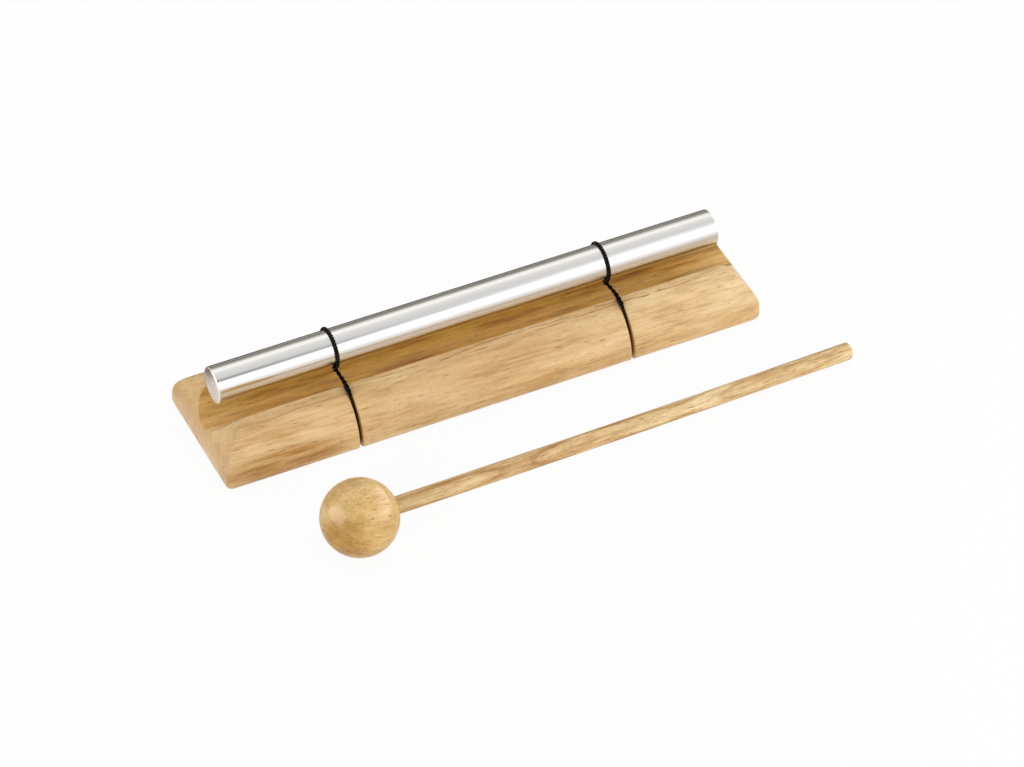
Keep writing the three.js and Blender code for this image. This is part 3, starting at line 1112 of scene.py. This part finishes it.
# %% The lay of a cord
def lay_radius(angle, strands):
    """The outer edge of equal touching circles on a ring, as a share of the full radius."""
    if strands == 1:
        return np.ones_like(angle)
    reach = 1 / math.sin(math.pi / strands)
    step = 2 * np.pi / strands
    off = (angle + step / 2) % step - step / 2
    edge = reach * np.cos(off) + np.sqrt(np.clip(1 - (reach * np.sin(off)) ** 2, 0, 1))
    return edge / (reach + 1)


def across_path(path, side, closed):
    """Two unit vectors across a path at each point, of which the first stays near side."""
    if closed:
        ahead = np.roll(path, -1, 0) - np.roll(path, 1, 0)
    else:
        ahead = np.gradient(path, axis=0)
    ahead = ahead / np.linalg.norm(ahead, axis=1)[:, None]
    across = side - ahead * np.sum(side * ahead, axis=1)[:, None]
    across = across / np.linalg.norm(across, axis=1)[:, None]
    return across, np.cross(ahead, across)


def length_along(path):
    """How far along its path each point lies."""
    steps = np.linalg.norm(np.diff(path, axis=0), axis=1)
    return np.concatenate([[0], np.cumsum(steps)])


def even(path, step):
    """The same path with points at even steps."""
    done = length_along(path)
    places = np.linspace(0, done[-1], max(3, round(done[-1] / step) + 1))
    return np.stack([np.interp(places, done, path[:, axis]) for axis in range(3)], 1)


print("a strand's share of the radius:", lay_radius(np.array([0.0, np.pi / 3]), 3).round(2))

# %% [markdown]
# With the lay and a path, the cord itself is one grid: a row for each point of the path and
# a column for each angle round it. Its material needs four numbers at each point: how far
# along it is, how far round in the turning lay, how deep in a valley between two strands,
# and how strongly painted glints, which are painted highlights, show on its crowns.

# %% A laid cord
least_taper = 0.08


def laid_cord(name, path, radius, strands, pitch, side=(1, 0, 0), closed=False,
              start_turn=0.0, ends=(1.0, 1.0), sides=36, fill=0.35,
              squash=1.0, shine=0.4):
    """A cord along a path. Its radius at an angle is that of the lay, turned by the way
    along over the pitch, and it is drawn in to a round end over the given radii. The
    fill makes the valleys shallower. A squashed cord is pressed flat on what it lies on."""
    side = np.broadcast_to(np.asarray(side, float), path.shape)
    across, up = across_path(path, side, closed)
    radius = np.broadcast_to(radius, len(path))
    done = length_along(path)
    whole_length = done[-1]
    if closed:
        whole_length = whole_length + np.linalg.norm(path[0] - path[-1])
        pitch = whole_length / round(whole_length / pitch)
    angle = np.linspace(0, 2 * np.pi, sides, endpoint=False)
    turn = start_turn + 2 * np.pi * done / pitch
    lay = lay_radius(angle[None, :] - turn[:, None], strands)
    lay = fill + (1 - fill) * lay
    taper = np.ones(len(path))
    if not closed:
        first = np.clip(done / (radius[0] * ends[0]), 0, 1)
        last = np.clip((whole_length - done) / (radius[-1] * ends[1]), 0, 1)
        taper = np.sqrt(1 - (1 - np.minimum(first, last)) ** 2)
        taper = np.maximum(taper, least_taper)
    reach = radius[:, None] * lay * taper[:, None]
    points = (path[:, None] + reach[..., None] * (
        np.cos(angle)[None, :, None] * across[:, None]
        + np.sin(angle)[None, :, None] * up[:, None] * squash))
    rows = len(path)
    flat = points.reshape(-1, 3)
    faces = [grid_faces(rows, sides, closed_rows=closed)]
    if not closed:
        flat = np.concatenate([flat, path[:1], path[-1:]])
        faces.append(ring_to_point(0, sides, rows * sides, False))
        faces.append(ring_to_point((rows - 1) * sides, sides, rows * sides + 1, True))
    piece = new_piece(name, flat, [face[:, ::-1] for face in faces])
    poles = [] if closed else [0, whole_length]
    at_poles = np.zeros(len(poles))
    around = np.tile(angle, rows) - np.repeat(turn, sides)
    hollow = (1 - lay) / (1 - lay.min())
    note(piece, "along", np.concatenate([np.repeat(done, sides), poles]) / mm)
    note(piece, "around", np.concatenate([around, at_poles]))
    note(piece, "valley", np.concatenate([hollow.ravel(), at_poles]))
    # How strongly the painted glints show on this piece.
    note(piece, "shine", np.full(len(flat), shine))
    return piece


print("a cord's end is drawn in to", least_taper, "of its radius, then closed")

# %% [markdown]
# The cord's colour is black. Fibres lie across the strands at a slant and are fluffy. The
# crowns are painted a little lighter and the valleys between strands darker, which is
# painted shade, and grey glints on the crowns are painted highlights, brightest on the loop
# where the cord crosses the rod. The glints are part of the colour, not gloss.

# %% The cord's finish
cord_blacks_and_glints = [(0.0, colour_of(2, 2, 3)), (0.5, colour_of(8, 8, 9)),
               (0.75, colour_of(58, 56, 59)), (1.0, colour_of(150, 147, 150))]
threads_turn = 9.0  # how fast the threads follow one another
fuzz_scale = 2600.0
cord_relief = 0.05 * mm


def black_cord():
    finish = Finish(bpy.data.materials.new("black cord"))
    along, around, valley, shine = (
        finish.stored(name) for name in ("along", "around", "valley", "shine"))
    slant = (along * 1.1 - around) * threads_turn
    threads = slant.maths("SINE", slant) * 0.5 + 0.5
    fuzz = finish.noise(finish.node("TexCoord", output="Object"), fuzz_scale, 3.0, 0.7)
    # Painted shade in the valleys between strands, and painted highlights as glints on the
    # crowns.
    crown = 1 - valley.between(0.1, 0.7)
    glint = (1 - valley.between(0.0, 0.24)) * (0.4 + fuzz.between(0.40, 0.60) * 0.6) * shine
    shade = 0.18 + crown * 0.1 + threads * 0.08 + (fuzz - 0.5) * 0.25 + glint * 0.46
    colour = finish.node("ValToRGB", {"stops": cord_blacks_and_glints}, {0: shade})
    height = threads * 0.6 + fuzz * 0.8
    cord_shader = finish.node("BsdfPrincipled", None, {
        "Base Color": colour, "Roughness": 0.42 + (fuzz - 0.5) * 0.3,
        "Specular IOR Level": 0.06, "Normal": finish.bump(height, cord_relief)})
    return finish.ended(cord_shader)


cord_finish = black_cord()


def dress_cord(piece, *nodes, body="base"):
    """The cord's finish, the CAD nodes that it stands for and the body that it rides."""
    piece.data.materials.append(cord_finish)
    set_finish(piece, "sling_cord")
    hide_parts(*nodes)
    if body:
        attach(piece, body)


print("cord finish:", cord_finish.name)

# %% [markdown]
# The routes repeat the CAD model's: the loop lies on the rod, the knots sit fifty
# degrees below its level line on both sides, the strand runs straight to the crest, and
# the bound stretch follows the shoulder until the cord dips into its kerf. They are drawn
# once, as Y and Z of the front side, for both slings.

# %% The cord's routes
loop_cord = 2.0 * mm
strand_cord = 2.0 * mm
wrap_cord = 2.35 * mm
kerf_cord = 0.8 * mm
knot_size = 2.1 * mm
knot_angle = 50  # degrees
wrap_inside = 1.5 * mm
wrap_reach = 9.5 * mm
kerf_lead = 3.5 * mm  # how far the cord in the kerf begins before the wrap's end
loop_gap = 0.1 * mm
route_step = 0.12 * mm

rod_height = rod_middle[2]
loop_squash = 0.66
loop_radius = rod_radius + loop_gap + loop_squash * loop_cord / 2
knot_radius = rod_radius + touch_gap + knot_size / 2


def in_plane(x, points, mirror):
    """Points of Y and Z set at one place along the rod, on the front or the rear side."""
    return np.stack([np.full(len(points), x), points[:, 0] * mirror, points[:, 1]], 1)


def over_shoulder(angle, rise):
    """Places on the front shoulder at an angle from upright and a height above the wood."""
    reach = side_shoulder + rise
    y = -(shoulder_y + reach * np.sin(angle))
    return np.stack([y, shoulder_z + reach * np.cos(angle)], 1)


def shoulder_angle(across, rise):
    """The angle at which the shoulder lies so far across, at a height above the wood."""
    return math.asin((across - shoulder_y) / (side_shoulder + rise))


knot_turn = math.radians(knot_angle)
knot_place = np.array([-knot_radius * math.cos(knot_turn),
                       rod_height - knot_radius * math.sin(knot_turn)])
wrap_rise = touch_gap + wrap_cord / 2
wrap_start = half_trough - wrap_inside
wrap_end = wrap_start + wrap_reach
wrap_angles = (shoulder_angle(wrap_start, wrap_rise), shoulder_angle(wrap_end, wrap_rise))
wrap_route = over_shoulder(np.linspace(*wrap_angles, 60), np.full(60, wrap_rise))
strand_route = np.linspace(knot_place, wrap_route[0], 40)
print("knot in mm:", (knot_place / mm).round(2), "crest end", (wrap_route[0] / mm).round(2))


sinking_speed = 1.25


def kerf_route():
    """Half the cord in the kerf: it sinks to the floor over a quarter sine, turns at the
    foot and stops at the middle of the underside."""
    seat = touch_gap + kerf_cord / 2
    wall_rise = seat - kerf_wall_depth
    share = np.linspace(0, 1, 80)
    sunk = np.sin(np.minimum(share * sinking_speed, 1) * np.pi / 2)
    rise = wrap_rise + (wall_rise - wrap_rise) * sunk
    start = shoulder_angle(wrap_end - kerf_lead, wrap_rise)
    down = over_shoulder(start + (np.pi / 2 - start) * share, rise)
    bend = kerf_bend + seat
    foot = kerf_foot_depth - seat
    turn = arc((bend - (kerf_wall + seat), foot + bend), bend, 180, 270, 12)
    return np.concatenate([down, turn[1:], [[0, foot]]])


half_kerf = kerf_route()
whole_kerf = np.concatenate([half_kerf, half_kerf[-2::-1] * [-1, 1]])
print("points in a kerf's route:", len(whole_kerf))

# %% [markdown]
# The knot is an overhand knot pulled tight. Its line is the trefoil, the simplest knot
# there is: a point goes round a ring twice while it winds through the ring three times.
# In front a cut end sticks out of the knot, along the rod.

# %% The knots
trefoil_points = 150
trefoil_span = 6.6  # how wide the line below comes out when it is not scaled
knot_cord = 1.04 * mm
knot_pitch = 2.6 * mm
tail_reach = 2.0 * mm
tail_bow = 0.7 * mm


def trefoil(centre, size, turn):
    """A trefoil of about the given size: going twice round, it sways three times. The
    second result points from the ring's core to the line, for the cord's lay."""
    angle = np.linspace(0, 2 * np.pi, trefoil_points, endpoint=False)
    ring = np.stack([np.cos(2 * angle), np.sin(2 * angle), np.zeros(trefoil_points)], 1)
    line = ring * (2 + np.cos(3 * angle))[:, None]
    line[:, 2] = 1.3 * np.sin(3 * angle)
    rotation = np.array(turn.to_matrix())
    scale = size / trefoil_span
    return centre + (line * scale) @ rotation.T, (line - 2 * ring) @ rotation.T


def make_knot(name, centre, turn):
    path, side = trefoil(centre, knot_size - 0.7 * knot_cord, turn)
    return laid_cord(name, path, knot_cord / 2, 3, knot_pitch,
                     side=side, closed=True, sides=24)


def make_tail(name, centre, lift):
    """The cut end: it leaves the knot along the rod, bows to the front, lifts a little
    and runs out to a point."""
    share = np.linspace(0, 1, 30)
    path = centre + np.stack([
        -share * tail_reach, -tail_bow * np.sin(share * 2.4), lift * share**1.6], 1)
    return laid_cord(name, even(path, route_step), 0.5 * mm, 3, 3.0 * mm,
                     side=(0, 0, 1), ends=(1, 2.5), sides=24)


def join_pieces(name, pieces):
    """Several pieces as one mesh, under one name."""
    with bpy.context.temp_override(
            active_object=pieces[0], selected_editable_objects=pieces):
        bpy.ops.object.join()
    pieces[0].name = name
    pieces[0].data.name = name
    return pieces[0]


print("knot across in mm:", round(knot_size / mm, 2))

# %% [markdown]
# In the kerf the cord is pulled hard: it starts full and narrows as it dips in. Down at
# the foot, where the saw ran out a little wide, it swells, sinks and stands proud again,
# and fills the kerf, so that no light shows through under the block.

# %% The cord in a kerf
kerf_start_radius = 0.6 * mm
kerf_narrows_over = 10 * mm
foot_height = 2.2 * mm
foot_swell, foot_sink, foot_proud = 0.45 * mm, 0.7 * mm, 0.3 * mm


def narrowed(path):
    """A radius for each point of a path: it falls from the start over a length."""
    share = np.clip(length_along(path) / kerf_narrows_over, 0, 1)
    return kerf_start_radius + (kerf_cord / 2 - kerf_start_radius) * share


def make_kerf_line(name, x):
    """The cord from crest to crest under the block. Its swelling at the foot is a bell
    curve over the height, and fades inwards below the block."""
    path = even(in_plane(x, whole_kerf, 1), 2 * route_step)
    radii = np.maximum(narrowed(path), narrowed(path[::-1])[::-1])
    low = np.exp(-(((path[:, 2] - foot_height) / foot_height) ** 2))
    at_foot = low * np.clip((np.abs(path[:, 1]) - kerf_wall + 6 * mm) / (4 * mm), 0, 1)
    path[:, 2] -= foot_sink * at_foot
    path[:, 1] += foot_proud * at_foot * np.sign(path[:, 1])
    return laid_cord(name, path, radii + foot_swell * at_foot, 2, 3.2 * mm,
                     ends=(0.4, 0.4), sides=20)


print("cord in the kerf, radius in mm:", kerf_start_radius / mm, "to", kerf_cord / 2 / mm)

# %% [markdown]
# Now both slings, from the loop on the rod to the cord under the base. In the photograph
# loops and knots sit a little to the left of their kerfs, so they are shifted along the rod,
# and the strands lean. The strands are attached to no body.

# %% The slings
strand_pitch = 5.6 * mm
loop_points = 620
tail_lifts = {"left": 0.1 * mm, "right": 0.5 * mm}
sling_shifts = {"left": -0.8 * mm, "right": -1.6 * mm}
loop_cords = {"left": loop_cord, "right": 0.95 * loop_cord}  # the right one is tighter


def make_loop(side_name, x):
    """The ring of cord on the rod, pressed flat on it."""
    angle = np.linspace(0, 2 * np.pi, loop_points, endpoint=False)
    ring = np.stack([
        np.full(loop_points, x), loop_radius * np.cos(angle),
        rod_height + loop_radius * np.sin(angle)], 1)
    # The loop gets the strongest painted glints.
    loop = laid_cord(f"{side_name}_loop", ring, loop_cords[side_name] / 2, 3, 5.0 * mm,
                     closed=True, squash=loop_squash, fill=0.1, shine=1.0)
    dress_cord(loop, f"{side_name}_loop_over", f"{side_name}_loop_under", body="slings")


def make_tie(side_name, part, x, mirror):
    """The knot at the rod, in front with its cut end."""
    centre = np.array([x, knot_place[0] * mirror, knot_place[1]])
    turn = Matrix.Rotation(math.radians(40 * mirror), 3, "X") @ Matrix.Rotation(0.5, 3, "Y")
    knot = make_knot(f"{part}_tie", centre, turn.to_quaternion())
    if mirror == 1:
        tail = make_tail(f"{part}_tail", centre, tail_lifts[side_name])
        knot = join_pieces(f"{part}_tie", [knot, tail])
    dress_cord(knot, f"{part}_knot", body="slings")


def make_strand(part, x, shift, mirror):
    """The strand from knot to crest, and the bound stretch, whose lay goes on from it."""
    pull = in_plane(x, strand_route, mirror)
    pull[:, 0] += shift * np.linspace(1, 0, len(pull))
    strand = laid_cord(f"{part}_twist", even(pull, route_step), strand_cord / 2, 2,
                       strand_pitch, ends=(0.6, 0.1), fill=0.58)
    dress_cord(strand, f"{part}_strand", body=None)
    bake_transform(strand)

    strand_turns = length_along(pull)[-1] / strand_pitch * 2 * np.pi
    bound = laid_cord(f"{part}_binding", even(in_plane(x, wrap_route, mirror), route_step),
                      wrap_cord / 2, 2, strand_pitch, start_turn=strand_turns,
                      ends=(0.1, 3.2), fill=0.58)
    dress_cord(bound, f"{part}_wrap")


for side_name, side_sign in (("left", -1), ("right", 1)):
    kerf_x = side_sign * support_x
    shift = sling_shifts[side_name]
    make_loop(side_name, kerf_x + shift)
    for place_name, mirror in (("front", 1), ("rear", -1)):
        part = f"{side_name}_{place_name}"
        make_tie(side_name, part, kerf_x + shift, mirror)
        make_strand(part, kerf_x, shift, mirror)
    dress_cord(make_kerf_line(f"{side_name}_kerf_line", kerf_x), f"{side_name}_kerf_cord")
cords = [item for item in scene.objects if item.get("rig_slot") == "sling_cord"]
print("cords:", len(cords), "pieces")

# %% [markdown]
# ## The mallet
#
# The head is a turned ball with a blind bore, the stick a dowel with a rounded end. They
# are turned pieces like the rod, and one matrix lays both on the table: the ball and the
# far end of the stick touch it.

# %% The mallet's sizes
stick_radius = 4.5 * mm
stick_length = 280 * mm
stick_end_round = 1.6 * mm
stick_sag = 0.9 * mm
bore_depth = 23 * mm
bore_play = 0.12 * mm
mallet_yaw = math.radians(3.7)

bore_floor = head_radius - bore_depth
stick_inner = bore_floor + touch_gap
stick_reach = stick_inner + stick_length
mallet_dip = math.asin((head_radius - stick_radius) / stick_reach)
head_place = Vector((-102.2 * mm, -(half_width + 59.9 * mm), head_radius))
laid = (Matrix.Translation(head_place) @ Matrix.Rotation(mallet_yaw, 4, "Z")
        @ Matrix.Rotation(mallet_dip, 4, "Y"))
print("the stick dips by degrees:", round(math.degrees(mallet_dip), 2))

# %% [markdown]
# Both profiles are radius over length. The ball's turns in at the softened mouth of the
# bore and ends on its floor, the stick's begins there. The stick sags by its own weight
# between its two ends, as a half sine.

# %% The mallet's shape
def ball_profile():
    """The ball from its far pole to the softened mouth of the bore, and the bore itself."""
    bore_radius = stick_radius + bore_play
    lip = 0.5 * mm
    mouth = math.asin((bore_radius + lip) / head_radius)
    angle = np.linspace(np.pi, mouth, 90)
    ball = np.stack([head_radius * np.cos(angle), head_radius * np.sin(angle)], 1)
    rim = ball[-1, 0]
    turn = np.linspace(0, np.pi / 2, 6)[1:]
    inwards, narrower = lip * (1 - np.cos(turn)), lip * (1 - np.sin(turn))
    edge = np.stack([rim - inwards, bore_radius + narrower], 1)
    bore = [[bore_floor + 1 * mm, bore_radius], [bore_floor, bore_radius - 0.4 * mm]]
    ball[0, 1] = 0
    return np.concatenate([ball, edge, bore, [[bore_floor, 0]]])


stick_unevenness = 0.035 * mm  # dowels are never quite round


def stick_profile():
    """The dowel from its glued end to the rounded far end with its flat face. Its radius
    sways a little, as a sum of two sines."""
    along = np.linspace(stick_inner + 0.4 * mm, stick_reach - stick_end_round, 120)
    sway = np.sin(along / (37 * mm)) + np.sin(along / (11 * mm)) * 0.4
    body = np.stack([along, stick_radius - 0.05 * mm + stick_unevenness * sway], 1)
    turn = np.linspace(0, np.pi / 2, 10)[1:]
    flat_radius = stick_radius - stick_end_round
    end = np.stack([stick_reach - stick_end_round + stick_end_round * np.sin(turn),
                    flat_radius + (body[-1, 1] - flat_radius) * np.cos(turn)], 1)
    face = np.linspace((stick_reach, flat_radius), (stick_reach, 0), 8)[1:]
    start = [[stick_inner, 0], [stick_inner, stick_radius - 0.5 * mm]]
    return np.concatenate([start, body, end, face])


ball_piece = turned_piece("ball", ball_profile(), 144, laid)
stick_piece = turned_piece("dowel", stick_profile(), 64, laid, sag=stick_sag)
for piece, node, slot in ((ball_piece, "mallet_head", "head_wood"),
                          (stick_piece, "mallet_stick", "stick_wood")):
    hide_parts(node)
    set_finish(piece, slot)
    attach(piece, "mallet")
print("ball:", len(ball_piece.data.polygons), "faces")
print("dowel:", len(stick_piece.data.polygons), "faces")

# %% [markdown]
# The ball was turned from a block whose grain ran at a slant to the bore, so its end
# grain shows towards the front left, with pores as dots there and as dashes all round.
# End grain drinks lacquer, and in the photograph the deepest gold lies lower than the
# middle of the end grain, so it has a direction of its own. The stick is split along its
# grain, and carries long pale and dark lines. It is a little deeper near the ball.

# %% The mallet's grain
stick_axis = np.array(laid.to_3x3() @ Vector((1, 0, 0)))
ball_grain = np.array([-0.924, -0.174, 0.338])
ball_grain = ball_grain / np.linalg.norm(ball_grain)
golden_side = (-0.790, -0.614, -0.015)  # where the ball faces the lower left
note(ball_piece, "end_grain", facing(ball_piece, ball_grain))
note(ball_piece, "drinks", facing(ball_piece, golden_side))
note(stick_piece, "end_grain", facing(stick_piece, stick_axis))


def to_grain(direction):
    """The turn that carries a direction in space to X."""
    return Vector(direction).rotation_difference(Vector((1, 0, 0)))


def pith_beside(direction, y, z):
    """A pith line that runs in a direction, this far beside the ball's middle, in mm."""
    centre = to_grain(direction) @ (head_place * 1000)
    return centre.y + y, centre.z + z


print("the ball's grain is turned by degrees:",
      round(math.degrees(to_grain(ball_grain).angle), 1))

# %% [markdown]
# Both are the base's kind of wood with other numbers. The ball has the thickest lacquer,
# which gives it its clear highlights.

# %% The mallet's finishes
ball_colours = (colour_of(235, 201, 134), colour_of(218, 178, 105), colour_of(194, 147, 75))
stick_colours = (colour_of(239, 212, 163), colour_of(212, 175, 117), colour_of(170, 125, 67))
golden_tint = colour_of(206, 176, 44)
deeper_tint = colour_of(241, 236, 224)
deeper_reach = 88  # from the middle of the ball, in mm


def ball_wood():
    """The ball: the end grain drinks lacquer and shows a deeper golden patch."""
    finish, place, colour, pore, fibre, _ = wood(
        "ball wood", ball_colours, grain_turn=tuple(to_grain(ball_grain).to_euler("XYZ")),
        pith=pith_beside(ball_grain, -34, 22),
        rings=(2.4, 0.5), pores=((9.0, 1.2, 0.60), (6.0, 0.85, 0.60)),
        pore_colour=colour_of(106, 60, 8), fibre_strength=0.55, line_strength=0.2)
    patch = finish.noise(place, 130.0, 2.0)
    deep = finish.stored("drinks").between(0.64, 0.94)
    deep = deep * (0.6 + patch.between(0.35, 0.65) * 0.4)
    colour = finish.tint(colour, golden_tint, deep)
    return lacquered(finish, colour, pore, fibre, roughness=0.38, coat=0.9,
                     coat_roughness=0.14, relief=wood_relief)


def stick_wood():
    finish, place, colour, pore, fibre, _ = wood(
        "stick wood", stick_colours, grain_turn=tuple(to_grain(stick_axis).to_euler("XYZ")),
        pith=pith_beside(stick_axis, 15, -12),
        rings=(1.6, 0.9), pores=((7.0, 0.85, 0.66), (4.5, 0.6, 0.70)),
        pore_colour=colour_of(104, 54, 10), fibre_strength=0.9, line_strength=0.0)
    by_ball = near(finish, place, tuple(1000 * head_place), (deeper_reach,) * 3)
    colour = finish.tint(colour, deeper_tint, by_ball)
    return lacquered(finish, colour, pore, fibre, roughness=0.42, coat=0.35,
                     coat_roughness=0.22, relief=wood_relief)


ball_piece.data.materials.append(ball_wood())
stick_piece.data.materials.append(stick_wood())
print("mallet finished")

# %% [markdown]
# ## The end
#
# The dressed model has to stay in the CAD model's box.

# %% Importing json
import json
